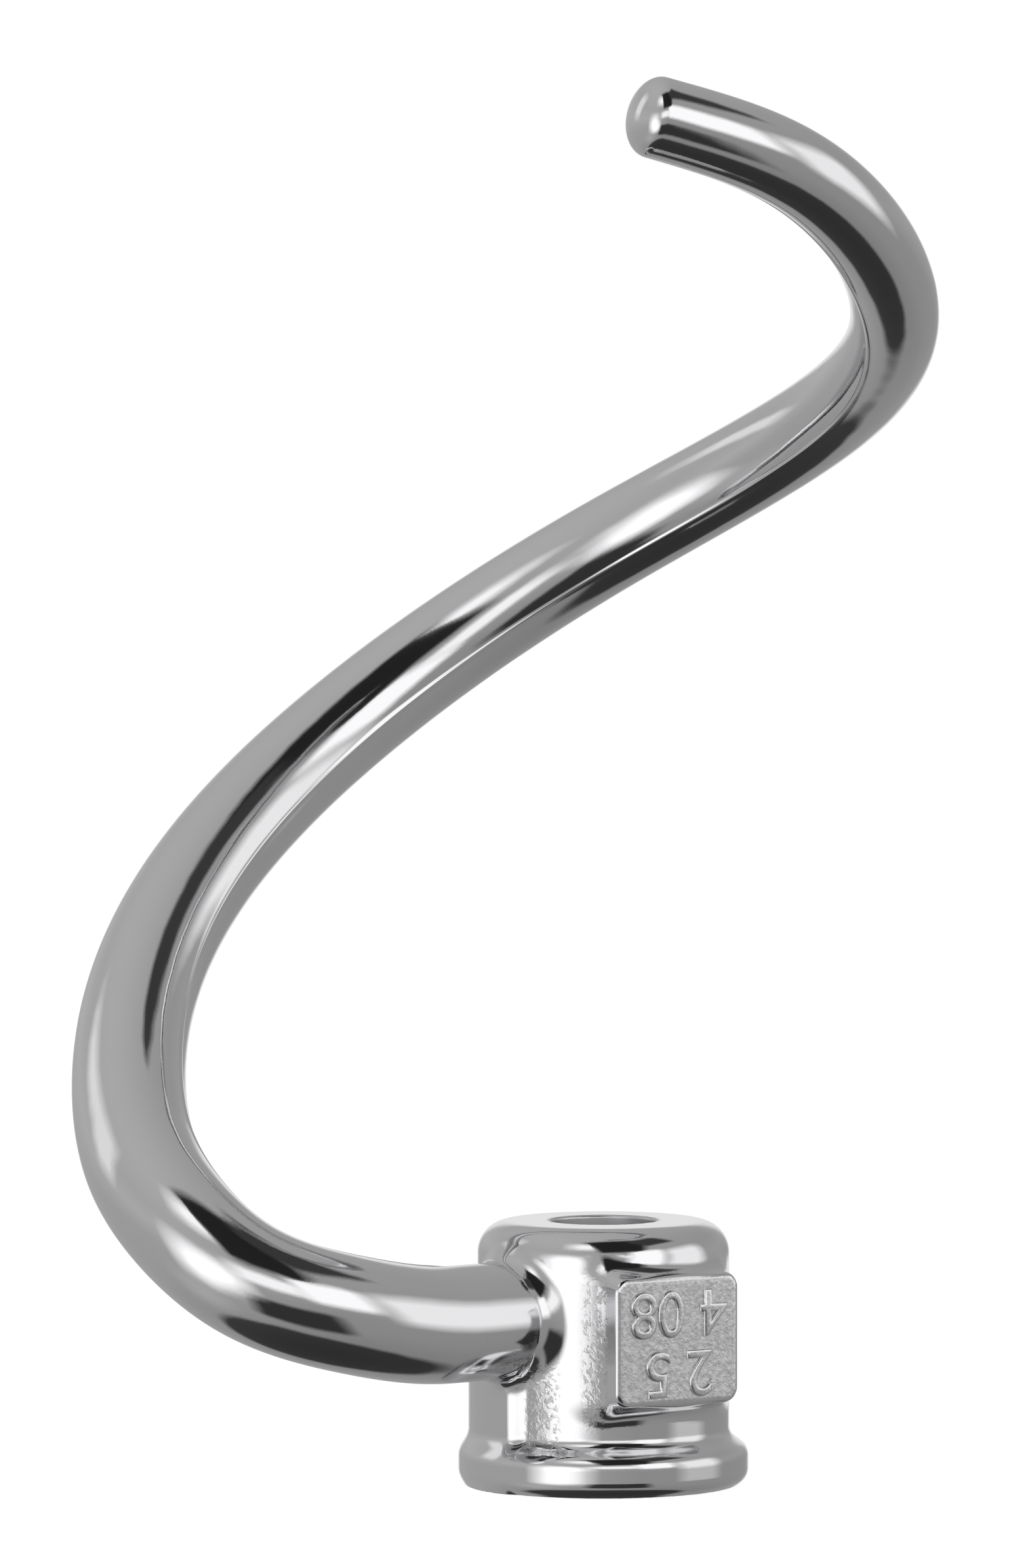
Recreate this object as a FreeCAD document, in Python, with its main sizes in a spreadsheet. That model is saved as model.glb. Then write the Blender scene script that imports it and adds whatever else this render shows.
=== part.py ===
import FreeCAD, Part
import math
import os

import Sketcher
from FreeCAD import Placement, Rotation, Vector

# Spiral dough hook of a planetary mixer, standing on its hub with the spiral rising above it.
# The origin is on the axis of the shaft bore, in the hub's lower face, and +Z runs up the bore.
# Bearings are degrees about +Z from +X. Reaches are distances from the bore's axis.

SIZES = {
    # shaft bore and the bayonet slot of the shaft's drive pin
    "bore_diameter": 13.0,
    "pin_slot_width": 5.2,
    "pin_slot_depth": 4.4,
    "pin_track_height": 7.0,
    "pin_lock_turn": 90.0,
    "slot_bearing": 180.0,
    # hub turned about the bore
    "hub_diameter": 30.8,
    "hub_height": 32.3,
    "hub_top_radius": 3.2,
    "flange_diameter": 35.5,
    "flange_height": 4.2,
    "flange_edge_radius": 1.8,
    "shoulder_height": 6.8,
    "shoulder_radius": 1.8,
    # raised band over the pin slot
    "band_proud": 1.1,
    "band_angle": 90.0,
    "band_top_gap": 0.2,
    # raised marking pad
    "pad_bearing": 303.0,
    "pad_width": 17.5,
    "pad_top_gap": 5.5,
    "pad_foot_gap": 4.8,
    "pad_proud": 1.2,
    "pad_draft": 12.0,
    "pad_root": 1.5,
    "pad_corner_radius": 1.8,
    "pad_edge_radius": 0.5,
    # root of the arm and its seat on the hub
    "arm_bearing": 220.0,
    "arm_top_gap": 4.2,
    "arm_root_diameter": 14.2,
    "arm_root_fillet": 1.8,
    "root_length": 8.6,
    "spigot_diameter": 8.0,
    "spigot_length": 6.0,
    "spigot_clearance": 0.05,
    "spigot_end_gap": 0.3,
    # elbow of the arm: turn from the root's bearing, reach, and rise above the root
    "elbow_start_turn": 1.0,
    "elbow_start_reach": 38.5,
    "elbow_start_rise": 2.0,
    "elbow_middle_turn": 7.0,
    "elbow_middle_reach": 50.5,
    "elbow_middle_rise": 6.5,
    "elbow_end_turn": 16.0,
    "elbow_end_reach": 56.5,
    "elbow_end_rise": 14.0,
    "spiral_start_turn": 28.0,
    "spiral_start_reach": 58.0,
    "spiral_start_rise": 22.5,
    # spiral: it narrows steadily with height, and climbs this far in each eighth of a turn
    "spiral_foot_turn": 40.0,
    "spiral_foot_reach": 57.5,
    "spiral_foot_rise": 34.0,
    "first_eighth_climb": 34.5,
    "second_eighth_climb": 24.0,
    "third_eighth_climb": 16.5,
    "fourth_eighth_climb": 14.5,
    "fifth_eighth_climb": 16.0,
    "tip_turn": 33.0,
    "tip_climb": 5.6,
    "tip_reach": 30.0,
    # thickness of the arm
    "taper_start": 50.0,
    "tip_diameter": 9.9,
    "tip_dome": 3.3,
}

# heights that follow the hub's top, its shoulder and the arm's underside
HEIGHTS = {
    "arm_height": "=hub_height - arm_top_gap - arm_root_diameter / 2",
    "band_top": "=arm_height - arm_root_diameter / 2 - arm_root_fillet - band_top_gap",
    "pad_top": "=hub_height - pad_top_gap",
    "pad_foot": "=shoulder_height + pad_foot_gap",
}

EIGHTH_TURN = 45.0
ARM_SECTIONS = 30
RING_ARCS = 3
EDGE_SAMPLES = 5
MATCH = 0.01

os.makedirs("parts", exist_ok=True)
doc = FreeCAD.newDocument("dough_hook")


def make_sheet():
    sheet = doc.addObject("Spreadsheet::Sheet", "Sizes")
    for row, (name, value) in enumerate([*SIZES.items(), *HEIGHTS.items()], start=1):
        sheet.set(f"A{row}", name)
        sheet.set(f"B{row}", str(value))
        sheet.setAlias(f"B{row}", name)
    doc.recompute()
    return sheet


sheet = make_sheet()


def size(name):
    return float(sheet.get(name))


def polar(bearing, reach, height):
    angle = math.radians(bearing)
    return Vector(reach * math.cos(angle), reach * math.sin(angle), height)


def origin_plane(body, role):
    return next(item for item in body.Origin.OriginFeatures if item.Role == role)


def radial_sketch(body, name, bearing):
    # a sketch in the half-plane through the bore's axis: x is the reach, y the height
    sketch = body.newObject("Sketcher::SketchObject", name)
    sketch.AttachmentSupport = (origin_plane(body, "XZ_Plane"), "")
    sketch.MapMode = "FlatFace"
    sketch.AttachmentOffset = Placement(Vector(), Rotation(Vector(0, 1, 0), 1))
    sketch.setExpression("AttachmentOffset.Rotation.Angle", bearing)
    return sketch


def facing_sketch(body, name, bearing, reach):
    # a sketch that faces outwards along a bearing: x is sideways, y the height
    sketch = body.newObject("Sketcher::SketchObject", name)
    sketch.AttachmentSupport = (origin_plane(body, "YZ_Plane"), "")
    sketch.MapMode = "FlatFace"
    sketch.AttachmentOffset = Placement(Vector(), Rotation(Vector(0, 1, 0), 1))
    sketch.setExpression("AttachmentOffset.Rotation.Angle", bearing)
    sketch.setExpression("AttachmentOffset.Base.x", f"({reach}) * sin({bearing} * 1deg)")
    sketch.setExpression("AttachmentOffset.Base.z", f"({reach}) * cos({bearing} * 1deg)")
    return sketch


def place_point(sketch, geometry, end, x_expression, y_expression):
    for kind, axis, expression in (("DistanceX", -2, x_expression), ("DistanceY", -1, y_expression)):
        value = float(sketch.evalExpression(expression))
        if expression == "0":
            sketch.addConstraint(Sketcher.Constraint("PointOnObject", geometry, end, axis))
            continue
        index = sketch.addConstraint(Sketcher.Constraint(kind, -1, 1, geometry, end, value))
        sketch.setExpression(f"Constraints[{index}]", expression)


def draw_outline(sketch, corners):
    points = [Vector(*(float(sketch.evalExpression(part)) for part in corner), 0) for corner in corners]
    count = len(points)
    for index in range(count):
        sketch.addGeometry(Part.LineSegment(points[index], points[(index + 1) % count]))
    for index in range(count):
        sketch.addConstraint(Sketcher.Constraint("Coincident", index, 2, (index + 1) % count, 1))
    for index, corner in enumerate(corners):
        place_point(sketch, index, 1, *corner)


def draw_circle(sketch, height, radius):
    middle = Vector(0, float(sketch.evalExpression(height)), 0)
    circle = Part.Circle(middle, Vector(0, 0, 1), float(sketch.evalExpression(radius)))
    sketch.addGeometry(circle)
    place_point(sketch, 0, 3, "0", height)
    index = sketch.addConstraint(Sketcher.Constraint("Radius", 0, circle.Radius))
    sketch.setExpression(f"Constraints[{index}]", radius)


def edges_where(shape, test):
    return [f"Edge{number}" for number, edge in enumerate(shape.Edges, start=1) if test(edge)]


def reach_of(point):
    return math.hypot(point.x, point.y)


def edge_test(holds):
    def test(edge):
        return all(holds(point) for point in edge.discretize(EDGE_SAMPLES))
    return test


def ring_test(reach, height):
    def on_ring(point):
        return abs(reach_of(point) - reach) < MATCH and abs(point.z - height) < MATCH
    return edge_test(on_ring)


def round_edges(body, name, test, radius):
    doc.recompute()
    base = body.Tip
    names = edges_where(base.Shape, test)
    fillet = body.newObject("PartDesign::Fillet", name)
    fillet.Base = (base, names)
    fillet.setExpression("Radius", radius)
    doc.recompute()
    return fillet


def turn_profile(body, name, sketch, angle, kind="PartDesign::Revolution"):
    feature = body.newObject(kind, name)
    feature.Profile = sketch
    feature.ReferenceAxis = (sketch, ["V_Axis"])
    feature.setExpression("Angle", angle)
    return feature


def push_profile(body, name, sketch, length, kind="PartDesign::Pad", inwards=False):
    feature = body.newObject(kind, name)
    feature.Profile = sketch
    feature.Reversed = inwards
    feature.setExpression("Length", length)
    return feature


def require_cut(body, feature, before):
    doc.recompute()
    if feature.Shape.Volume >= before - MATCH:
        raise RuntimeError(f"{feature.Name} removes nothing from {body.Label}")


def on_root_seam(point):
    # true where the arm's root meets the hub's round wall
    direction = polar(size("arm_bearing"), 1, 0)
    offset = point - Vector(0, 0, size("arm_height"))
    from_arm = (offset - direction * offset.dot(direction)).Length
    on_arm = abs(from_arm - size("arm_root_diameter") / 2) < MATCH
    on_wall = abs(reach_of(point) - size("hub_diameter") / 2) < MATCH
    return on_arm and on_wall


def on_pad_rim(point):
    # true in the plane of the marking pad's face
    outward = polar(size("pad_bearing"), 1, 0)
    face_reach = size("hub_diameter") / 2 + size("pad_proud")
    return abs(point.dot(outward) - face_reach) < MATCH


def add_hub_body(body):
    wall = "Sizes.hub_diameter / 2"
    flange = "Sizes.flange_diameter / 2"
    profile = radial_sketch(body, "hub_profile", "Sizes.slot_bearing - 90")
    draw_outline(profile, [
        ("0", "0"),
        (flange, "0"),
        (flange, "Sizes.flange_height"),
        (wall, "Sizes.shoulder_height"),
        (wall, "Sizes.hub_height"),
        ("0", "Sizes.hub_height"),
    ])
    turn_profile(body, "hub_turned", profile, "360")
    wall_reach = size("hub_diameter") / 2
    flange_reach = size("flange_diameter") / 2
    shoulder = ring_test(wall_reach, size("shoulder_height"))
    flange_top = ring_test(flange_reach, size("flange_height"))
    flange_bottom = ring_test(flange_reach, 0)
    round_edges(body, "shoulder_hollow", shoulder, "Sizes.shoulder_radius")
    round_edges(body, "flange_top_round", flange_top, "Sizes.shoulder_radius")
    round_edges(body, "flange_edge_round", flange_bottom, "Sizes.flange_edge_radius")


def add_arm_root(body):
    root = facing_sketch(body, "root_circle", "Sizes.arm_bearing", "0")
    draw_circle(root, "Sizes.arm_height", "Sizes.arm_root_diameter / 2")
    push_profile(body, "arm_root", root, "Sizes.hub_diameter / 2 + Sizes.root_length")
    round_edges(body, "root_fillet", edge_test(on_root_seam), "Sizes.arm_root_fillet")
    top_edge = ring_test(size("hub_diameter") / 2, size("hub_height"))
    round_edges(body, "hub_top_round", top_edge, "Sizes.hub_top_radius")


def add_band(body):
    band = "Sizes.hub_diameter / 2 + Sizes.band_proud"
    inside = "Sizes.hub_diameter / 2 - Sizes.band_proud"
    profile = radial_sketch(body, "band_profile", "Sizes.slot_bearing")
    draw_outline(profile, [
        (inside, "Sizes.flange_edge_radius"),
        (band, "Sizes.flange_edge_radius"),
        (band, "Sizes.band_top"),
        (inside, "Sizes.band_top"),
    ])
    feature = turn_profile(body, "slot_band", profile, "Sizes.band_angle")
    feature.Midplane = True
    doc.recompute()


def add_marking_pad(body):
    face_reach = "Sizes.hub_diameter / 2 + Sizes.pad_proud"
    half_width = "Sizes.pad_width / 2"
    outline = facing_sketch(body, "pad_outline", "Sizes.pad_bearing", face_reach)
    draw_outline(outline, [
        (f"-{half_width}", "Sizes.pad_foot"),
        (half_width, "Sizes.pad_foot"),
        (half_width, "Sizes.pad_top"),
        (f"-{half_width}", "Sizes.pad_top"),
    ])
    wall_drop = f"Sizes.hub_diameter / 2 - sqrt((Sizes.hub_diameter / 2) ^ 2 - ({half_width}) ^ 2)"
    depth = f"Sizes.pad_proud + Sizes.pad_root + {wall_drop}"
    feature = push_profile(body, "marking_pad", outline, depth, inwards=True)
    feature.setExpression("TaperAngle", "Sizes.pad_draft")
    doc.recompute()

    def corner(edge):
        return sum(on_pad_rim(vertex.Point) for vertex in edge.Vertexes) == 1

    round_edges(body, "pad_corners", corner, "Sizes.pad_corner_radius")
    round_edges(body, "pad_rim", edge_test(on_pad_rim), "Sizes.pad_edge_radius")


def cut_bore(body):
    before = body.Shape.Volume
    bore = "Sizes.bore_diameter / 2"
    profile = radial_sketch(body, "bore_profile", "Sizes.slot_bearing - 90")
    draw_outline(profile, [
        ("0", "0"),
        (bore, "0"),
        (bore, "Sizes.hub_height"),
        ("0", "Sizes.hub_height"),
    ])
    feature = turn_profile(body, "shaft_bore", profile, "360", "PartDesign::Groove")
    require_cut(body, feature, before)


def cut_pin_slot(body):
    # the drive pin enters up a straight slot, then turns along a level track to its stop
    slot_reach = "Sizes.bore_diameter / 2 + Sizes.pin_slot_depth"
    track_top = "Sizes.pin_track_height + Sizes.pin_slot_width"
    half_slot = "Sizes.pin_slot_width / 2"

    before = body.Shape.Volume
    entry = facing_sketch(body, "pin_entry", "Sizes.slot_bearing", "0")
    draw_outline(entry, [
        (f"-{half_slot}", "0"),
        (half_slot, "0"),
        (half_slot, track_top),
        (f"-{half_slot}", track_top),
    ])
    slot = push_profile(body, "pin_slot", entry, slot_reach, "PartDesign::Pocket", inwards=True)
    require_cut(body, slot, before)

    before = body.Shape.Volume
    profile = radial_sketch(body, "track_profile", "Sizes.slot_bearing")
    draw_outline(profile, [
        ("0", "Sizes.pin_track_height"),
        (slot_reach, "Sizes.pin_track_height"),
        (slot_reach, track_top),
        ("0", track_top),
    ])
    pin_half_angle = f"asin(({half_slot}) / ({slot_reach}))"
    turn = f"Sizes.pin_lock_turn * 1deg + {pin_half_angle}"
    track = turn_profile(body, "pin_track", profile, turn, "PartDesign::Groove")
    require_cut(body, track, before)


def cut_spigot_seat(body):
    before = body.Shape.Volume
    weld_reach = "Sizes.hub_diameter / 2 + Sizes.root_length"
    seat = facing_sketch(body, "seat_circle", "Sizes.arm_bearing", weld_reach)
    draw_circle(seat, "Sizes.arm_height", "Sizes.spigot_diameter / 2 + Sizes.spigot_clearance")
    depth = "Sizes.spigot_length + Sizes.spigot_end_gap"
    feature = push_profile(body, "spigot_seat", seat, depth, "PartDesign::Pocket")
    require_cut(body, feature, before)


def build_hub():
    body = doc.addObject("PartDesign::Body", "hub")
    body.Label = "hub"
    add_hub_body(body)
    add_arm_root(body)
    add_band(body)
    add_marking_pad(body)
    cut_bore(body)
    cut_pin_slot(body)
    cut_spigot_seat(body)
    return body


def arm_stations():
    bearing = size("arm_bearing")
    base = size("arm_height")
    stations = [polar(bearing, size("hub_diameter") / 2 + size("root_length"), base)]
    for name in ("elbow_start", "elbow_middle", "elbow_end", "spiral_start"):
        turn = size(f"{name}_turn")
        stations.append(polar(bearing - turn, size(f"{name}_reach"), base + size(f"{name}_rise")))

    eighths = ["first", "second", "third", "fourth", "fifth"]
    steps = [(0.0, size("spiral_foot_rise"))]
    steps += [(EIGHTH_TURN, size(f"{name}_eighth_climb")) for name in eighths]
    steps.append((size("tip_turn"), size("tip_climb")))
    total_climb = sum(climb for turn, climb in steps[1:])
    narrowing = (size("spiral_foot_reach") - size("tip_reach")) / total_climb

    spiral_bearing = bearing - size("spiral_foot_turn")
    foot_height = base + size("spiral_foot_rise")
    height = base
    for turn, climb in steps:
        spiral_bearing -= turn
        height += climb
        reach = size("spiral_foot_reach") - narrowing * (height - foot_height)
        stations.append(polar(spiral_bearing, reach, height))
    return stations


def arm_curve():
    # the arm's middle line, straight through its root and then smooth through the stations
    stations = arm_stations()
    wall_point = polar(size("arm_bearing"), size("hub_diameter") / 2, size("arm_height"))
    curve = Part.BSplineCurve()
    curve.interpolate(Points=[wall_point] + stations)
    curve.segment(curve.parameter(stations[0]), curve.LastParameter)
    return curve


def ring(centre, along, side, radius):
    # a circle drawn as three arcs
    across = along.cross(side)
    points = []
    for step in range(2 * RING_ARCS):
        angle = math.pi * step / RING_ARCS
        points.append(centre + side * (radius * math.cos(angle)) + across * (radius * math.sin(angle)))
    points.append(points[0])
    arcs = [Part.Arc(*points[step:step + 3]).toShape() for step in range(0, 2 * RING_ARCS, 2)]
    return Part.Wire(arcs)


def arm_frames():
    # centre, direction, side and radius of each section from the weld face to the tip
    curve = arm_curve()
    length = curve.length()
    side = Vector(0, 0, 1)
    frames = []
    for index in range(ARM_SECTIONS + 1):
        distance = length * index / ARM_SECTIONS
        parameter = curve.parameterAtDistance(distance, curve.FirstParameter)
        along = curve.tangent(parameter)[0]
        if index == 0:
            along = polar(size("arm_bearing"), 1, 0)
        side = (side - along * side.dot(along)).normalize()
        tapered = max(0.0, (distance - size("taper_start")) / (length - size("taper_start")))
        thinning = (size("arm_root_diameter") - size("tip_diameter")) * tapered
        radius = (size("arm_root_diameter") - thinning) / 2
        frames.append((curve.value(parameter), along, side, radius))
    return frames


def build_hook_arm():
    frames = arm_frames()
    bar = doc.addObject("Part::Feature", "arm_bar")
    bar.Shape = Part.makeLoft([ring(*frame) for frame in frames], True, False)

    tip_centre, along_tip = frames[-1][:2]
    dome = doc.addObject("Part::Ellipsoid", "tip_dome")
    dome.Placement = Placement(tip_centre, Rotation(Vector(0, 0, 1), along_tip))
    dome.setExpression("Radius1", "Sizes.tip_dome")
    dome.setExpression("Radius2", "Sizes.tip_diameter / 2")
    dome.setExpression("Radius3", "Sizes.tip_diameter / 2")
    dome.Angle1 = 0

    spigot = doc.addObject("Part::Cylinder", "arm_spigot")
    root_centre, along_root = frames[0][:2]
    spigot.Placement = Placement(root_centre, Rotation(Vector(0, 0, 1), along_root.negative()))
    spigot.setExpression("Radius", "Sizes.spigot_diameter / 2")
    spigot.setExpression("Height", "Sizes.spigot_length")

    arm = doc.addObject("Part::MultiFuse", "hook_arm")
    arm.Shapes = [bar, dome, spigot]
    arm.Label = "hook_arm"
    doc.recompute()
    return arm


def check_document(parts):
    for item in doc.Objects:
        if "Invalid" in item.State or "Error" in item.State:
            raise RuntimeError(f"{item.Label} is not sound: {item.State}")
    for part in parts:
        if part.Shape.isNull() or not part.Shape.isValid():
            raise RuntimeError(f"{part.Label} has no valid solid")


parts = [build_hub(), build_hook_arm()]
doc.recompute()
check_document(parts)
for part in parts:
    part.Shape.exportStep(f"parts/{part.Label}.step")
    box = part.Shape.BoundBox
    print(part.Label, len(part.Shape.Solids), round(part.Shape.Volume, 1), box)
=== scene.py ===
import math

import bpy
import numpy as np
from mathutils import Matrix, Vector


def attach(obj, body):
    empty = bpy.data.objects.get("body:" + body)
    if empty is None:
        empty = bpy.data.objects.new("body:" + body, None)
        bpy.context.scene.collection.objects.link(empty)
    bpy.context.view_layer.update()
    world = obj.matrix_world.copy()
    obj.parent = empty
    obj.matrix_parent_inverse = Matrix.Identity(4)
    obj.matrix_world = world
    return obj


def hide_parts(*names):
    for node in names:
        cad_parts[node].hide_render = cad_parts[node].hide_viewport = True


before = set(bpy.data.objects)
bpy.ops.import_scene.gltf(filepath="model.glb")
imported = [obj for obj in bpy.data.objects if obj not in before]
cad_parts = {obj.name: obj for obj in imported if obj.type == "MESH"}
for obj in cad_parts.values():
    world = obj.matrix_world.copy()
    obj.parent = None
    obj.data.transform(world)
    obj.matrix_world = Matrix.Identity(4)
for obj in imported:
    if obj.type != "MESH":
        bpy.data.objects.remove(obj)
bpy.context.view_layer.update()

mm = 0.001
print("frame loaded:", sorted(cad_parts))


# small helpers

def polar(bearing, reach, height):
    angle = math.radians(bearing)
    return np.array([reach * math.cos(angle), reach * math.sin(angle), height])


def clearSelection():
    bpy.ops.object.select_all(action="DESELECT")


def takeOnly(piece):
    clearSelection()
    piece.select_set(True)
    bpy.context.view_layer.objects.active = piece


def meshPiece(name, points, faces):
    mesh = bpy.data.meshes.new(name)
    mesh.from_pydata([tuple(point) for point in points * mm], [], [tuple(face) for face in faces])
    mesh.update()
    piece = bpy.data.objects.new(name, mesh)
    bpy.context.scene.collection.objects.link(piece)
    takeOnly(piece)
    bpy.ops.object.shade_smooth()
    return piece


def addPointValues(piece, name, values):
    attribute = piece.data.attributes.new(name, "FLOAT", "POINT")
    attribute.data.foreach_set("value", np.asarray(values, np.float32))


def easeStep(low, high, values):
    share = np.clip((values - low) / (high - low), 0.0, 1.0)
    return share * share * (3.0 - 2.0 * share)


# spiral arm: a round bar along a smooth line through these stations, in mm and degrees

armShape = {
    "bearing": 220.0, "height": 21.0, "rootReach": 24.0,
    # turn from the root's bearing, reach and rise of each station
    "elbow": [(1.0, 38.5, 2.0), (7.0, 50.5, 6.5), (16.0, 56.5, 14.0), (28.0, 58.0, 22.5)],
    "footTurn": 40.0, "footReach": 57.5, "footRise": 34.0,
    "eighthTurn": 45.0, "climbs": [34.5, 24.0, 16.5, 14.5, 16.0],
    "tipTurn": 33.0, "tipClimb": 5.6, "tipReach": 30.0,
    "rootRadius": 7.1, "tipRadius": 4.95, "taperStart": 50.0, "dome": 3.3,
    "ringStep": 1.0, "ringPoints": 88, "domeRings": 14, "lineSamples": 6000, "slopeNudge": 0.01,
    "spiralMiddle": (0.0, 0.0, 90.0),  # the parting line faces this point
    "beadWidth": 0.32, "beadProud": 0.16, "beadFade": 4.0, "beadTipFade": 1.0,
    "beadSteps": [0.0, 0.32, 0.65, 1.0, 1.5, 2.2], "beadClear": 2.6,  # in bead widths from its crest
}


def armStations():
    shape = armShape
    bearing, height = shape["bearing"], shape["height"]
    stations = [polar(bearing, shape["rootReach"], height)]
    for turn, reach, rise in shape["elbow"]:
        stations.append(polar(bearing - turn, reach, height + rise))
    steps = [(0.0, 0.0)]
    steps += [(shape["eighthTurn"], climb) for climb in shape["climbs"]]
    steps.append((shape["tipTurn"], shape["tipClimb"]))
    narrowing = (shape["footReach"] - shape["tipReach"]) / sum(climb for turn, climb in steps)
    spiralBearing = bearing - shape["footTurn"]
    climbed = 0.0
    for turn, climb in steps:
        spiralBearing -= turn
        climbed += climb
        reach = shape["footReach"] - narrowing * climbed
        stations.append(polar(spiralBearing, reach, height + shape["footRise"] + climbed))
    return np.array(stations)


def smoothLine(stations, startSlope):
    # cubic spline through the stations that leaves the root square to the weld face
    gaps = np.linalg.norm(np.diff(stations, axis=0), axis=1)
    knots = np.concatenate([[0.0], np.cumsum(gaps)])
    count = len(stations)
    system = np.eye(count)
    right = np.zeros((count, 3))
    system[0, :2] = 2.0 * gaps[0], gaps[0]
    right[0] = 6.0 * ((stations[1] - stations[0]) / gaps[0] - startSlope)
    for index in range(1, count - 1):
        before, after = gaps[index - 1], gaps[index]
        system[index, index - 1:index + 2] = before, 2.0 * (before + after), after
        slopeAfter = (stations[index + 1] - stations[index]) / after
        slopeBefore = (stations[index] - stations[index - 1]) / before
        right[index] = 6.0 * (slopeAfter - slopeBefore)
    bends = np.linalg.solve(system, right)

    def at(values):
        values = np.asarray(values, float)
        index = np.clip(np.searchsorted(knots, values, side="right") - 1, 0, count - 2)
        gap = gaps[index][:, None]
        ahead = (knots[index + 1] - values)[:, None]
        behind = (values - knots[index])[:, None]
        cubic = bends[index] * ahead ** 3 / (6.0 * gap) + bends[index + 1] * behind ** 3 / (6.0 * gap)
        first = (stations[index] / gap - bends[index] * gap / 6.0) * ahead
        second = (stations[index + 1] / gap - bends[index + 1] * gap / 6.0) * behind
        return cubic + first + second

    return at, knots


def evenLine(at, start, end, step):
    # points at even distances along the line, with their directions
    fine = np.linspace(start, end, armShape["lineSamples"])
    places = at(fine)
    lengths = np.concatenate([[0.0], np.cumsum(np.linalg.norm(np.diff(places, axis=0), axis=1))])
    count = int(round(lengths[-1] / step)) + 1
    distances = np.linspace(0.0, lengths[-1], count)
    values = np.interp(distances, lengths, fine)
    nudge = armShape["slopeNudge"]
    along = at(np.minimum(values + nudge, end)) - at(np.maximum(values - nudge, start))
    along /= np.linalg.norm(along, axis=1)[:, None]
    return at(values), along, distances


def beadAngles(radius):
    # even steps round the bar, with finer ones over the parting line at angle zero
    even = np.linspace(0.0, 2.0 * math.pi, armShape["ringPoints"], endpoint=False)
    width = armShape["beadWidth"] / radius
    steps = armShape["beadSteps"]
    fine = width * np.array([-step for step in reversed(steps[1:])] + steps)
    clear = armShape["beadClear"] * width
    kept = even[(even > clear) & (even < 2.0 * math.pi - clear)]
    return np.concatenate([fine, kept])


def tubeFaces(ringCount, around, rootPoint, polePoint):
    # quads between the rings, and a fan of triangles at each end
    faces = []
    for ring in range(ringCount - 1):
        for step in range(around):
            following = (step + 1) % around
            low, high = ring * around, (ring + 1) * around
            faces.append((low + step, low + following, high + following, high + step))
    last = (ringCount - 1) * around
    for step in range(around):
        following = (step + 1) % around
        faces.append((following, step, rootPoint))
        faces.append((last + step, last + following, polePoint))
    return faces


def buildArm():
    shape = armShape
    rootWay = polar(shape["bearing"], 1.0, 0.0)
    at, knots = smoothLine(armStations(), rootWay)
    centres, along, distances = evenLine(at, knots[0], knots[-1], shape["ringStep"])
    along[0] = rootWay
    length = distances[-1]
    taper = np.clip((distances - shape["taperStart"]) / (length - shape["taperStart"]), 0.0, 1.0)
    radii = shape["rootRadius"] + (shape["tipRadius"] - shape["rootRadius"]) * taper

    # the tip is closed by a low dome, drawn as more rings that shrink to a pole
    lift = np.linspace(0.0, math.pi / 2.0, shape["domeRings"] + 1)[1:-1]
    domeCentres = centres[-1] + along[-1] * (shape["dome"] * np.sin(lift))[:, None]
    centres = np.vstack([centres, domeCentres])
    along = np.vstack([along, np.repeat(along[-1:], len(lift), axis=0)])
    radii = np.concatenate([radii, shape["tipRadius"] * np.cos(lift)])
    distances = np.concatenate([distances, length + shape["dome"] * np.sin(lift)])

    inward = np.array(shape["spiralMiddle"]) - centres
    inward -= along * np.sum(inward * along, axis=1)[:, None]
    inward /= np.linalg.norm(inward, axis=1)[:, None]
    across = np.cross(along, inward)

    angles = beadAngles(shape["rootRadius"])
    wrapped = np.where(angles > math.pi, angles - 2.0 * math.pi, angles)
    offset = wrapped * shape["rootRadius"] / shape["beadWidth"]
    tipFade = shape["beadTipFade"]
    rings = []
    for centre, side, up, radius, distance in zip(centres, inward, across, radii, distances):
        fade = easeStep(0.0, shape["beadFade"], distance)
        fade *= easeStep(length + tipFade, length - tipFade, distance)
        ring = radius + shape["beadProud"] * fade * np.exp(-offset ** 2)
        rings.append(centre + np.outer(ring * np.cos(angles), side) + np.outer(ring * np.sin(angles), up))
    pole = centres[-len(lift) - 1] + along[-1] * shape["dome"]
    points = np.vstack([*rings, centres[:1], [pole]])

    around = len(angles)
    rootPoint = len(points) - 2
    faces = tubeFaces(len(rings), around, rootPoint, rootPoint + 1)
    piece = meshPiece("spiral_arm", points, faces)
    piece.data.polygons.foreach_set("use_smooth", [face[2] != rootPoint for face in faces])
    for edge in piece.data.edges:  # the flat root end keeps its own shading
        edge.use_edge_sharp = max(edge.vertices) < around
    print("spiral arm:", len(points), "points,", round(length, 1), "mm long")
    return piece


# hub: the casting is drawn as one blended surface, in mm and degrees

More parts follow.
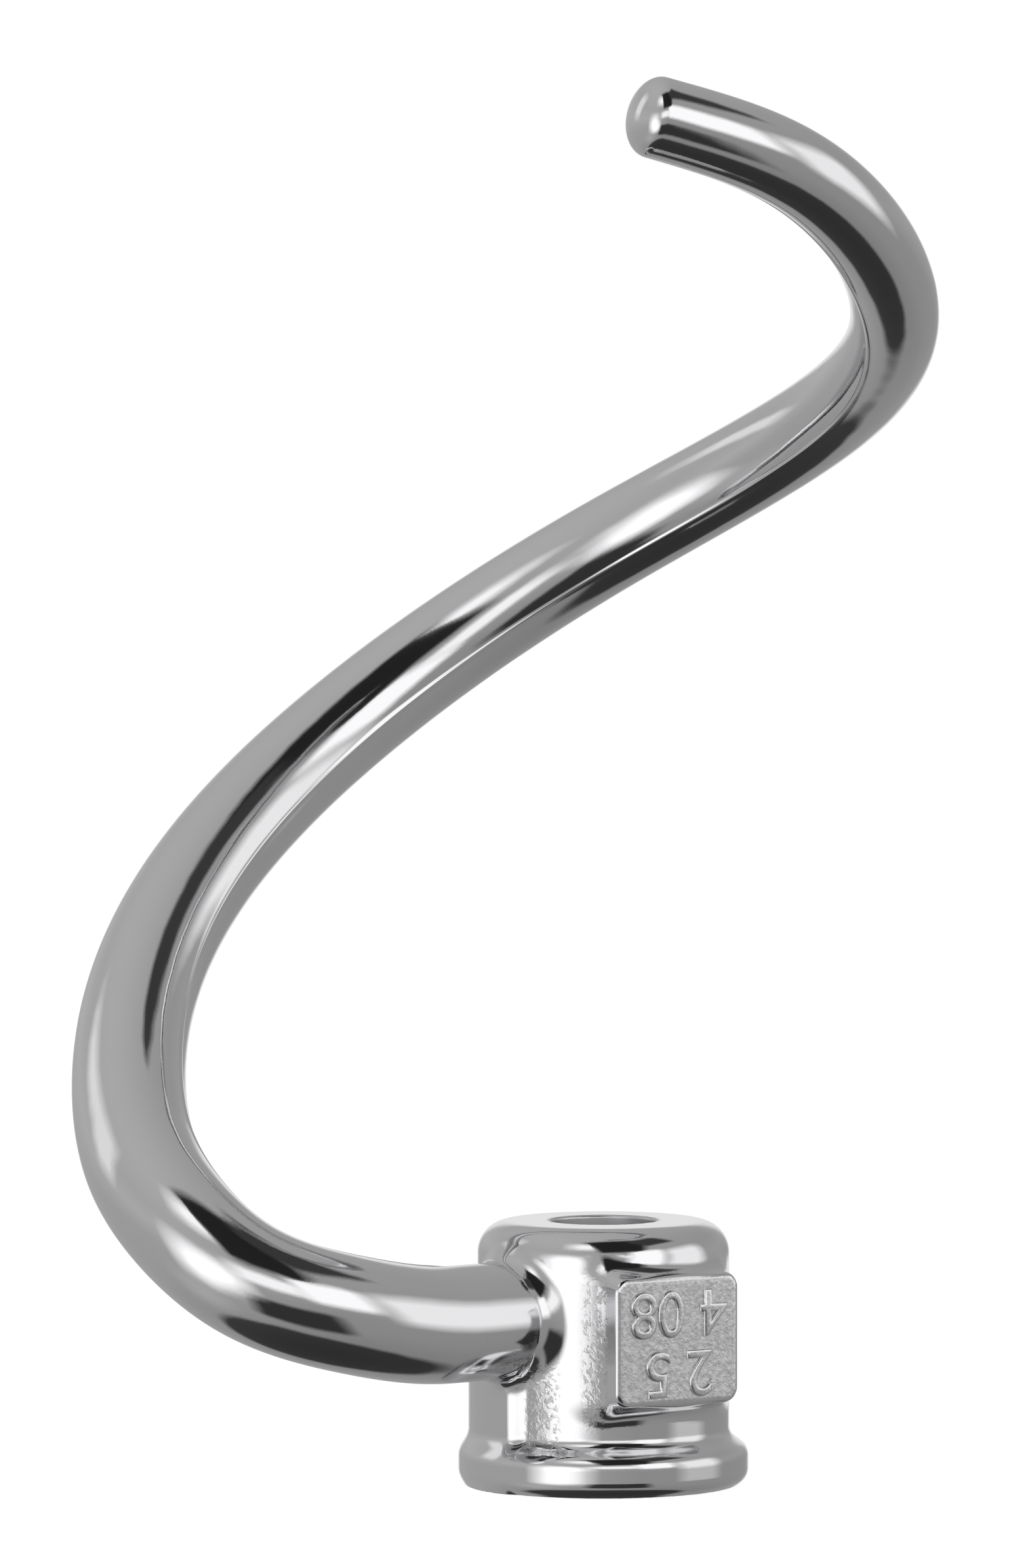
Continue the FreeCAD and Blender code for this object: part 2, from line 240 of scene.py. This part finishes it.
hubShape = {
    "bodyRadius": 15.4, "bodyTop": 32.3, "topEdge": 3.9,
    "flangeRadius": 17.75, "flangeTop": 5.5, "flangeEdge": 2.0, "flangeBlend": 1.6,
    "bandRadius": 16.5, "bandTop": 17.4, "bandEnds": (130.0, 229.0), "bandEdge": 1.8, "bandBlend": 1.4,
    "rootBearing": armShape["bearing"], "rootHeight": armShape["height"],
    "rootRadius": armShape["rootRadius"], "rootReach": armShape["rootReach"],
    "rootSpare": 3.0, "rootBlend": 2.2,  # the spare length is cut off square
    "padBearing": 303.0, "padReach": 16.6, "padMiddle": 18.9, "padHalfWidth": 8.75, "padHalfHeight": 7.8,
    "padDraft": 12.0, "padCorner": 1.8, "padRim": 0.45, "padBlend": 2.0, "padBack": 8.0,
    "boreRadius": 6.5, "boreEdge": 0.35,
    "slotHalf": 2.6, "slotReach": 10.9, "trackFoot": 7.0, "trackTop": 12.2,
    "trackEnds": (167.0, 283.8), "slotEdge": 0.25,
    "gridLow": (-27.0, -25.0, -0.9), "gridHigh": (18.9, 18.9, 33.2), "cell": 0.34,
    "settleSteps": 5, "settleLimit": 0.2, "slopeFloor": 0.25,
    # where each finish starts and is full
    "blastEdge": (-0.25, -0.7), "blastFace": (-0.3, -0.1), "boreWall": (7.1, 6.7),
}


def roundUnion(first, second, radius):
    # joins two shapes with a concave fillet
    near = np.hypot(np.maximum(radius - first, 0.0), np.maximum(radius - second, 0.0))
    return np.maximum(radius, np.minimum(first, second)) - near


def roundCross(first, second, radius):
    # keeps what two shapes share, with a rounded edge
    near = np.hypot(np.maximum(radius + first, 0.0), np.maximum(radius + second, 0.0))
    return np.minimum(-radius, np.maximum(first, second)) + near


def roundedBar(first, second, edge):
    # distance from a rounded corner between two half-spaces
    outside = np.hypot(np.maximum(first + edge, 0.0), np.maximum(second + edge, 0.0))
    return outside + np.minimum(np.maximum(first + edge, second + edge), 0.0) - edge


def pastBearing(x, y, bearing):
    angle = math.radians(bearing)
    return y * math.cos(angle) - x * math.sin(angle)


def padField(x, y, z):
    shape = hubShape
    out = polar(shape["padBearing"], 1.0, 0.0)
    reach = x * out[0] + y * out[1]
    sideways = y * out[0] - x * out[1]
    spread = (shape["padReach"] - reach) * math.tan(math.radians(shape["padDraft"]))
    outline = roundedBar(
        np.abs(sideways) - shape["padHalfWidth"] - spread,
        np.abs(z - shape["padMiddle"]) - shape["padHalfHeight"] - spread,
        shape["padCorner"],
    )
    outline *= math.cos(math.radians(shape["padDraft"]))
    return outline, reach - shape["padReach"], reach


def slotField(x, y, z, reach):
    # a straight slot towards -X for the cross pin, and the track for its turn
    shape = hubShape
    slotOut = -x
    slot = np.maximum(np.abs(y) - shape["slotHalf"], np.maximum(slotOut - shape["slotReach"], -slotOut))
    slot = np.maximum(slot, z - shape["trackTop"])
    start, stop = shape["trackEnds"]
    track = np.maximum(pastBearing(x, y, stop), -pastBearing(x, y, start))
    track = np.maximum(track, reach - shape["slotReach"])
    track = np.maximum(track, np.maximum(z - shape["trackTop"], shape["trackFoot"] - z))
    return np.minimum(slot, track)


def hubField(points):
    shape = hubShape
    x, y, z = points[:, 0], points[:, 1], points[:, 2]
    reach = np.hypot(x, y)

    body = roundedBar(reach - shape["bodyRadius"], z - shape["bodyTop"], shape["topEdge"])
    middle = shape["flangeTop"] / 2.0
    flange = roundedBar(reach - shape["flangeRadius"], np.abs(z - middle) - middle, shape["flangeEdge"])
    casting = roundUnion(body, flange, shape["flangeBlend"])

    band = roundedBar(reach - shape["bandRadius"], z - shape["bandTop"], shape["bandEdge"])
    left, right = shape["bandEnds"]
    ends = np.maximum(pastBearing(x, y, right), -pastBearing(x, y, left))
    casting = roundUnion(casting, roundCross(band, ends, shape["bandEdge"]), shape["bandBlend"])

    out = polar(shape["rootBearing"], 1.0, 0.0)
    along = x * out[0] + y * out[1]
    across = y * out[0] - x * out[1]
    root = np.hypot(across, z - shape["rootHeight"]) - shape["rootRadius"]
    root = np.maximum(root, np.maximum(-along, along - shape["rootReach"] - shape["rootSpare"]))
    casting = roundUnion(casting, root, shape["rootBlend"])

    outline, proud, padReach = padField(x, y, z)
    pad = np.maximum(roundCross(outline, proud, shape["padRim"]), shape["padBack"] - padReach)
    casting = roundUnion(casting, pad, shape["padBlend"])

    casting = np.maximum(casting, -z)
    casting = roundCross(casting, shape["boreRadius"] - reach, shape["boreEdge"])
    return roundCross(casting, -slotField(x, y, z, reach), shape["slotEdge"])


def fieldSlope(field, points, nudge=0.02):
    slope = np.empty_like(points)
    for axis in range(3):
        shift = np.zeros(3)
        shift[axis] = nudge
        slope[:, axis] = (field(points + shift) - field(points - shift)) / (2.0 * nudge)
    return slope


def surfaceNet(field, low, high, cell):
    # one point in each grid cell that the surface passes through, joined by quads
    axes = [np.arange(start, stop + cell, cell) for start, stop in zip(low, high)]
    grid = np.stack(np.meshgrid(*axes, indexing="ij"), axis=-1)
    values = field(grid.reshape(-1, 3)).reshape(grid.shape[:3])
    total = np.zeros(tuple(size - 1 for size in values.shape) + (3,))
    count = np.zeros(total.shape[:3])
    crossings = []
    for axis in range(3):
        size = values.shape[axis]
        before = np.take(values, range(size - 1), axis=axis)
        after = np.take(values, range(1, size), axis=axis)
        found = np.argwhere((before < 0.0) != (after < 0.0))
        near, far = before[tuple(found.T)], after[tuple(found.T)]
        places = found.astype(float)
        places[:, axis] += near / (near - far)
        corners = []
        for stepOne, stepTwo in ((0, 0), (1, 0), (1, 1), (0, 1)):
            cells = found.copy()
            cells[:, (axis + 1) % 3] -= stepOne
            cells[:, (axis + 2) % 3] -= stepTwo
            np.add.at(total, tuple(cells.T), places)
            np.add.at(count, tuple(cells.T), 1.0)
            corners.append(cells)
        crossings.append((corners, near < 0.0))
    used = count > 0.0
    numbers = np.full(count.shape, -1)
    numbers[used] = np.arange(int(used.sum()))
    points = total[used] / count[used][:, None] * cell + np.array(low)
    faces = []
    for corners, outward in crossings:
        quads = np.stack([numbers[tuple(cells.T)] for cells in corners], axis=1)
        quads = np.where(outward[:, None], quads, quads[:, ::-1])
        faces.extend(quads.tolist())
    return points, faces


# corners in front that the polishing wheel doesn't reach, left rough and given a darker colour that is
# painted shade in these recesses: middle x, z, half width and half height in mm
castShadePatches = {
    "besideBand": (-7.4, 10.6, 2.3, 5.2),
    "padSide": (-1.0, 18.0, 1.5, 9.0),
}
castShadeFade = (1.25, 0.55)  # the unpolished casting and its painted shade start and are full at these shares of a patch's half size


# rough unpolished casting in the front recesses, a mask that also carries painted shade there
def castSkinAndShade(points):
    skinAndShade = np.zeros(len(points))
    for x, z, halfWidth, halfHeight in castShadePatches.values():
        aside = np.abs(points[:, 0] - x) / halfWidth
        above = np.abs(points[:, 2] - z) / halfHeight
        skinAndShade = np.maximum(skinAndShade, easeStep(*castShadeFade, np.maximum(aside, above)))
    return skinAndShade * (points[:, 1] < 0.0)


def cutRootSquare(piece):
    # the stub ends square at the weld face, where the arm goes on
    out = Vector(polar(hubShape["rootBearing"], 1.0, 0.0))
    takeOnly(piece)
    bpy.ops.object.mode_set(mode="EDIT")
    bpy.ops.mesh.select_all(action="SELECT")
    place = out * (hubShape["rootReach"] * mm)
    bpy.ops.mesh.bisect(plane_co=place, plane_no=out, use_fill=True, clear_outer=True, threshold=1e-7)
    bpy.ops.object.mode_set(mode="OBJECT")
    squareTo, onPlane = 0.999, -1e-6
    caps = []
    for face in piece.data.polygons:
        facing = face.normal.dot(out)
        if abs(facing) > squareTo and (face.center - place).dot(out) > onPlane:
            if facing < 0.0:
                face.flip()
            face.use_smooth = False
            caps.extend(face.loop_indices)
    setSurfaceNormals(piece, caps, out)


def setSurfaceNormals(piece, caps, capNormal):
    # reflections follow the blended surface itself, not its facets
    mesh = piece.data
    points = np.empty(3 * len(mesh.vertices))
    mesh.vertices.foreach_get("co", points)
    slope = fieldSlope(hubField, points.reshape(-1, 3) / mm)
    slope /= np.linalg.norm(slope, axis=1)[:, None]
    corners = np.empty(len(mesh.loops), np.int32)
    mesh.loops.foreach_get("vertex_index", corners)
    normals = slope[corners]
    normals[caps] = capNormal
    mesh.normals_split_custom_set(normals.tolist())


def buildHub():
    shape = hubShape
    limit = shape["settleLimit"]
    points, faces = surfaceNet(hubField, shape["gridLow"], shape["gridHigh"], shape["cell"])
    for step in range(shape["settleSteps"]):
        slope = fieldSlope(hubField, points)
        share = hubField(points) / np.maximum(np.sum(slope ** 2, axis=1), shape["slopeFloor"])
        points = points - slope * np.clip(share, -limit, limit)[:, None]

    piece = meshPiece("hub_casting", points, faces)
    x, y, z = points[:, 0], points[:, 1], points[:, 2]
    outline, proud = padField(x, y, z)[:2]
    blasted = easeStep(*shape["blastEdge"], outline) * easeStep(*shape["blastFace"], proud)
    addPointValues(piece, "blasted", blasted)
    # mask of rough unpolished casting, whose darker colour is painted shade in the recesses
    addPointValues(piece, "castSkinAndShade", castSkinAndShade(points))
    addPointValues(piece, "boreWall", easeStep(*shape["boreWall"], np.hypot(x, y)))
    cutRootSquare(piece)
    print("hub casting:", len(piece.data.vertices), "points")
    return piece


# raised plain numerals on the pad, upside down while the hook stands on its hub

padNumerals = {
    "rows": [("4 08", 22.5), ("2 5", 15.2)],  # text and height
    "size": 7.8, "extrude": 0.05, "bevel": 0.34, "bevelSteps": 4, "thin": -0.16,
    "smoothAngle": 40.0, "blasted": 0.35,
}


def buildNumerals():
    shape = hubShape
    out = Vector(polar(shape["padBearing"], 1.0, 0.0))
    up = Vector((0.0, 0.0, 1.0))
    right = up.cross(out)
    rows = []
    for text, height in padNumerals["rows"]:
        clearSelection()
        bpy.ops.object.text_add()
        row = bpy.context.object
        row.data.body = text
        row.data.align_x, row.data.align_y = "CENTER", "CENTER"
        row.data.size = padNumerals["size"] * mm
        row.data.extrude = padNumerals["extrude"] * mm
        row.data.bevel_depth = padNumerals["bevel"] * mm
        row.data.bevel_resolution = padNumerals["bevelSteps"]
        row.data.offset = padNumerals["thin"] * mm
        bpy.ops.object.convert(target="MESH")
        place = Matrix((-right, -up, out)).transposed().to_4x4()
        place.translation = (out * shape["padReach"] + up * height) * mm
        row.data.transform(place)
        rows.append(row)
    clearSelection()
    for row in rows:
        row.select_set(True)
    bpy.context.view_layer.objects.active = rows[0]
    bpy.ops.object.join()
    piece = bpy.context.object
    piece.name = "pad_numerals"
    bpy.ops.object.mode_set(mode="EDIT")
    bpy.ops.mesh.select_all(action="SELECT")
    bpy.ops.mesh.remove_doubles(threshold=1e-6)
    bpy.ops.mesh.normals_make_consistent(inside=False)
    bpy.ops.object.mode_set(mode="OBJECT")
    bpy.ops.object.shade_smooth_by_angle(angle=math.radians(padNumerals["smoothAngle"]))
    addPointValues(piece, "blasted", np.full(len(piece.data.vertices), padNumerals["blasted"]))
    print("numerals:", len(piece.data.vertices), "points")
    return piece


# finish

steelLook = {
    # the darker colour for unpolished casting is painted shade in the front recesses
    "colour": (0.71, 0.71, 0.72, 1.0), "castShadeColour": (0.60, 0.60, 0.60, 1.0),
    "blastDark": (0.60, 0.60, 0.605, 1.0), "blastLight": (0.82, 0.82, 0.825, 1.0),
    "polish": 0.06, "smudge": 0.11, "castRoughness": 0.26, "blastRoughness": 0.40, "boreRoughness": 0.30,
    # scale, detail and roughness of each noise
    "speckNoise": (2600.0, 3.0, 0.6), "patchNoise": (1500.0, 2.0, 0.5), "smudgeNoise": (90.0, 4.0, 0.6),
    "peelNoise": (1700.0, 3.0, 0.6), "waveNoise": (160.0, 1.0, 0.5), "grainNoise": (2600.0, 2.0, 0.5),
    # the stretch of a noise that shows
    "patchRange": (0.48, 0.62), "smudgeRange": (0.35, 0.75), "peelRange": (0.36, 0.64),
    # strength and distance of each bump
    "waveBump": (0.10, 0.0006), "grainBump": (0.03, 0.00006),
    "pitBump": (0.40, 0.00012), "blastBump": (0.55, 0.00020),
}


def newMaterial(name):
    material = bpy.data.materials.new(name)
    material.use_nodes = True
    material.node_tree.nodes.clear()
    return material, material.node_tree.nodes, material.node_tree.links


def showSurface(nodes, links, shader):
    output = nodes.new("ShaderNodeOutputMaterial")
    links.new(shader.outputs[0], output.inputs["Surface"])


def noiseNode(nodes, links, place, scale, detail, roughness):
    noise = nodes.new("ShaderNodeTexNoise")
    noise.inputs["Scale"].default_value = scale
    noise.inputs["Detail"].default_value = detail
    noise.inputs["Roughness"].default_value = roughness
    links.new(place, noise.inputs["Vector"])
    return noise.outputs["Fac"]


def rangeNode(nodes, links, value, fromLow, fromHigh, toLow, toHigh):
    node = nodes.new("ShaderNodeMapRange")
    node.inputs["From Min"].default_value = fromLow
    node.inputs["From Max"].default_value = fromHigh
    node.inputs["To Min"].default_value = toLow
    node.inputs["To Max"].default_value = toHigh
    links.new(value, node.inputs["Value"])
    return node.outputs["Result"]


def mathNode(nodes, links, operation, first, second):
    node = nodes.new("ShaderNodeMath")
    node.operation = operation
    for socket, value in zip(node.inputs, (first, second)):
        if isinstance(value, (int, float)):
            socket.default_value = value
        else:
            links.new(value, socket)
    return node.outputs[0]


def mixColour(nodes, links, share, first, second):
    node = nodes.new("ShaderNodeMix")
    node.data_type = "RGBA"
    links.new(share, node.inputs["Factor"])
    for socket, value in zip((node.inputs[6], node.inputs[7]), (first, second)):
        if isinstance(value, tuple):
            socket.default_value = value
        else:
            links.new(value, socket)
    return node.outputs[2]


def bumpNode(nodes, links, height, strength, distance, normal=None):
    bump = nodes.new("ShaderNodeBump")
    bump.inputs["Strength"].default_value = strength
    bump.inputs["Distance"].default_value = distance
    links.new(height, bump.inputs["Height"])
    if normal is not None:
        links.new(normal, bump.inputs["Normal"])
    return bump.outputs["Normal"]


def attributeNode(nodes, name):
    node = nodes.new("ShaderNodeAttribute")
    node.attribute_name = name
    return node.outputs["Fac"]


def polishedSteel():
    material, nodes, links = newMaterial("polishedSteel")
    look = steelLook
    place = nodes.new("ShaderNodeTexCoord").outputs["Object"]
    blasted = attributeNode(nodes, "blasted")
    skinAndShade = attributeNode(nodes, "castSkinAndShade")
    bore = attributeNode(nodes, "boreWall")

    speck = noiseNode(nodes, links, place, *look["speckNoise"])
    patch = noiseNode(nodes, links, place, *look["patchNoise"])
    rough = rangeNode(nodes, links, patch, *look["patchRange"], 0.0, 1.0)
    castAndShade = mathNode(nodes, links, "MULTIPLY", skinAndShade, rough)

    smudge = noiseNode(nodes, links, place, *look["smudgeNoise"])
    polish = rangeNode(nodes, links, smudge, *look["smudgeRange"], look["polish"], look["smudge"])
    castPolish = mathNode(nodes, links, "MULTIPLY", castAndShade, look["castRoughness"])
    blastPolish = mathNode(nodes, links, "MULTIPLY", blasted, look["blastRoughness"])
    borePolish = mathNode(nodes, links, "MULTIPLY", bore, look["boreRoughness"])
    roughness = polish
    for more in (castPolish, blastPolish, borePolish):
        roughness = mathNode(nodes, links, "ADD", roughness, more)

    peel = noiseNode(nodes, links, place, *look["peelNoise"])
    mottle = rangeNode(nodes, links, peel, *look["peelRange"], 0.0, 1.0)
    blastShade = mixColour(nodes, links, mottle, look["blastDark"], look["blastLight"])
    # painted shade: the recess patches of unpolished casting get the darker colour
    colour = mixColour(nodes, links, castAndShade, look["colour"], look["castShadeColour"])
    colour = mixColour(nodes, links, blasted, colour, blastShade)

    # the wheel leaves slow waves, the casting leaves pits, and the blasted face is grainy
    wave = noiseNode(nodes, links, place, *look["waveNoise"])
    normal = bumpNode(nodes, links, wave, *look["waveBump"])
    grain = noiseNode(nodes, links, place, *look["grainNoise"])
    normal = bumpNode(nodes, links, grain, *look["grainBump"], normal)
    pits = mathNode(nodes, links, "MULTIPLY", speck, castAndShade)
    normal = bumpNode(nodes, links, pits, *look["pitBump"], normal)
    blastGrain = mathNode(nodes, links, "MULTIPLY", peel, blasted)
    normal = bumpNode(nodes, links, blastGrain, *look["blastBump"], normal)

    shader = nodes.new("ShaderNodeBsdfPrincipled")
    shader.inputs["Metallic"].default_value = 1.0
    links.new(colour, shader.inputs["Base Color"])
    links.new(roughness, shader.inputs["Roughness"])
    links.new(normal, shader.inputs["Normal"])
    showSurface(nodes, links, shader)
    return material


# studio: a grey tent with soft boxes, seen by the metal and not by the camera

studioShape = {
    "tentRadius": 2.6, "tentSegments": 48, "tentRings": 24, "middleHeight": 0.09,
    # share of the tent's height, and its grey there
    "tentGreys": [
        (0.0, 0.04), (0.075, 0.05), (0.10, 0.34), (0.26, 0.40),
        (0.46, 0.42), (0.6, 0.50), (0.75, 0.46), (1.0, 0.52),
    ],
    "sideSpan": 0.5, "leftGain": 1.08, "rightGain": 0.84,
}
boreGlow = {"size": 0.022, "height": -0.002, "brightness": 0.55, "softEdge": 0.3}

# azimuth from the camera towards +X, elevation, half width and half height in degrees,
# brightness, soft edge and distance; in part rounded from a fit to the photograph, then changed one by
# one
studioCards = {
    "keyBox": (-39.0, -4.0, 25.0, 27.0, 1.55, 0.85, 1.70),
    "nearKey": (-27.0, -8.0, 24.0, 20.0, 1.55, 0.85, 0.45),
    "fillBox": (44.0, 18.0, 19.0, 20.0, 1.35, 0.45, 1.70),
    "frontStrip": (11.0, 14.0, 28.0, 12.0, 1.25, 0.60, 1.72),
    "sideGlow": (84.0, 11.0, 26.0, 25.0, 1.12, 0.55, 1.74),
    "topBox": (-20.0, 51.0, 20.0, 16.0, 1.30, 0.80, 1.70),
    "leftCard": (-108.0, 26.0, 12.0, 20.0, 0.95, 0.60, 1.70),
    "whiteSweep": (180.0, 0.0, 20.0, 22.0, 0.85, 0.50, 1.70),
    "lowGlow": (-60.0, -36.0, 24.0, 18.0, 0.50, 0.80, 1.76),
    "darkFlag": (20.0, 54.0, 24.0, 26.0, 0.02, 0.30, 1.60),
    "sideFlag": (75.0, 60.0, 18.0, 13.0, 0.05, 0.40, 1.58),
    "frontGap": (13.0, -30.0, 27.0, 18.0, 0.04, 0.35, 1.62),
}


def tentMaterial():
    material, nodes, links = newMaterial("tentCloth")
    place = nodes.new("ShaderNodeTexCoord").outputs["Object"]
    split = nodes.new("ShaderNodeSeparateXYZ")
    links.new(place, split.inputs[0])
    radius = studioShape["tentRadius"]
    ramp = nodes.new("ShaderNodeValToRGB")
    links.new(rangeNode(nodes, links, split.outputs["Z"], -radius, radius, 0.0, 1.0), ramp.inputs["Fac"])
    stops = studioShape["tentGreys"]
    elements = ramp.color_ramp.elements
    while len(elements) < len(stops):
        elements.new(0.5)
    for element, (position, grey) in zip(elements, stops):
        element.position = position
        element.color = (grey, grey, grey, 1.0)
    span = studioShape["sideSpan"] * radius
    gains = studioShape["leftGain"], studioShape["rightGain"]
    side = rangeNode(nodes, links, split.outputs["X"], -span, span, *gains)
    emission = nodes.new("ShaderNodeEmission")
    links.new(ramp.outputs["Color"], emission.inputs["Color"])
    links.new(side, emission.inputs["Strength"])
    showSurface(nodes, links, emission)
    return material


def cardMaterial(name, brightness, softEdge):
    material, nodes, links = newMaterial(name)
    split = nodes.new("ShaderNodeSeparateXYZ")
    links.new(nodes.new("ShaderNodeTexCoord").outputs["UV"], split.inputs[0])
    nearest = None
    for axis in ("X", "Y"):
        offset = mathNode(nodes, links, "SUBTRACT", split.outputs[axis], 0.5)
        fromMiddle = mathNode(nodes, links, "ABSOLUTE", offset, 0.0)
        edge = rangeNode(nodes, links, fromMiddle, 0.5, 0.5 - 0.5 * softEdge, 0.0, 1.0)
        nearest = edge if nearest is None else mathNode(nodes, links, "MULTIPLY", nearest, edge)
    clear = nodes.new("ShaderNodeBsdfTransparent")
    emission = nodes.new("ShaderNodeEmission")
    emission.inputs["Strength"].default_value = brightness
    mix = nodes.new("ShaderNodeMixShader")
    links.new(nearest, mix.inputs["Fac"])
    links.new(clear.outputs[0], mix.inputs[1])
    links.new(emission.outputs[0], mix.inputs[2])
    showSurface(nodes, links, mix)
    return material


def hideFromCamera(piece):
    piece.visible_camera = False


def addPlane(name, size, height=0.0):
    clearSelection()
    bpy.ops.mesh.primitive_plane_add(size=size, location=(0.0, 0.0, height))
    plane = bpy.context.object
    plane.name = name
    return plane


def buildTent():
    shape = studioShape
    clearSelection()
    bpy.ops.mesh.primitive_uv_sphere_add(
        segments=shape["tentSegments"], ring_count=shape["tentRings"], radius=shape["tentRadius"])
    tent = bpy.context.object
    tent.name = "tent"
    tent.data.materials.append(tentMaterial())
    hideFromCamera(tent)


def buildCard(name, azimuth, elevation, halfWidth, halfHeight, brightness, softEdge, distance):
    turn, lift = math.radians(azimuth), math.radians(elevation)
    out = Vector((math.sin(turn) * math.cos(lift), -math.cos(turn) * math.cos(lift), math.sin(lift)))
    card = addPlane(name, 2.0)
    width, height = (distance * math.tan(math.radians(half)) for half in (halfWidth, halfHeight))
    card.scale = (width, height, 1.0)
    card.rotation_euler = out.to_track_quat("Z", "Y").to_euler()
    card.location = Vector((0.0, 0.0, studioShape["middleHeight"])) + out * distance
    card.data.materials.append(cardMaterial(name, brightness, softEdge))
    hideFromCamera(card)


def buildStudio():
    buildTent()
    for name, values in studioCards.items():
        buildCard(name, *values)
    catch = addPlane("boreGlow", boreGlow["size"], boreGlow["height"])  # light from below into the bore
    catch.data.materials.append(cardMaterial("boreGlow", boreGlow["brightness"], boreGlow["softEdge"]))
    hideFromCamera(catch)
    print("studio:", len(studioCards), "cards in the tent")


floorLook = {"half": 3.0, "shade": 0.42, "glow": 0.86}


def buildFloor():
    floor = addPlane("paleFloor", 2.0 * floorLook["half"])
    floor.visible_glossy = False
    material, nodes, links = newMaterial("paleFloor")
    path = nodes.new("ShaderNodeLightPath")
    emission = nodes.new("ShaderNodeEmission")
    seen = path.outputs["Is Camera Ray"]
    for ray in ("Is Glossy Ray", "Is Transmission Ray"):
        seen = mathNode(nodes, links, "MAXIMUM", seen, path.outputs[ray])
    glow = mathNode(nodes, links, "MULTIPLY", seen, floorLook["glow"])
    links.new(glow, emission.inputs["Strength"])
    diffuse = nodes.new("ShaderNodeBsdfDiffuse")
    shade = floorLook["shade"]
    diffuse.inputs["Color"].default_value = (shade, shade, shade, 1.0)
    both = nodes.new("ShaderNodeAddShader")
    links.new(emission.outputs[0], both.inputs[0])
    links.new(diffuse.outputs[0], both.inputs[1])
    showSurface(nodes, links, both)
    floor.data.materials.append(material)


def buildWorld():
    world = bpy.data.worlds.new("whiteRoom")
    world.use_nodes = True
    background = world.node_tree.nodes["Background"]
    background.inputs["Color"].default_value = (1.0, 1.0, 1.0, 1.0)
    background.inputs["Strength"].default_value = 1.0
    bpy.context.scene.world = world


# camera as in the photograph, whose frame is 1540 by 2390 pixels

cameraPlace = {
    "location": (0.0, -1.2, 0.1415), "aim": (0.0, 0.0, 0.0856), "frameHeight": 2390.0,
    "focalPixels": 15016.0, "sensor": 36.0, "axisRightOfMiddle": 150.0, "clipEnd": 20.0,
}


def buildCamera():
    data = bpy.data.cameras.new("photoView")
    data.sensor_width = cameraPlace["sensor"]
    data.lens = cameraPlace["focalPixels"] / cameraPlace["frameHeight"] * cameraPlace["sensor"]
    data.shift_x = -cameraPlace["axisRightOfMiddle"] / cameraPlace["frameHeight"]
    data.clip_end = cameraPlace["clipEnd"]
    camera = bpy.data.objects.new("photoView", data)
    bpy.context.scene.collection.objects.link(camera)
    location = Vector(cameraPlace["location"])
    camera.location = location
    camera.rotation_euler = (Vector(cameraPlace["aim"]) - location).to_track_quat("-Z", "Y").to_euler()
    bpy.context.scene.camera = camera


buildCamera()
buildWorld()
buildStudio()
buildFloor()

steel = polishedSteel()
arm = buildArm()
hub = buildHub()
numerals = buildNumerals()
for piece in (arm, hub, numerals):
    piece.data.materials.append(steel)
    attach(piece, "root")
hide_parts("hook_arm")
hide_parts("hub")

bpy.context.scene.view_settings.view_transform = "Standard"
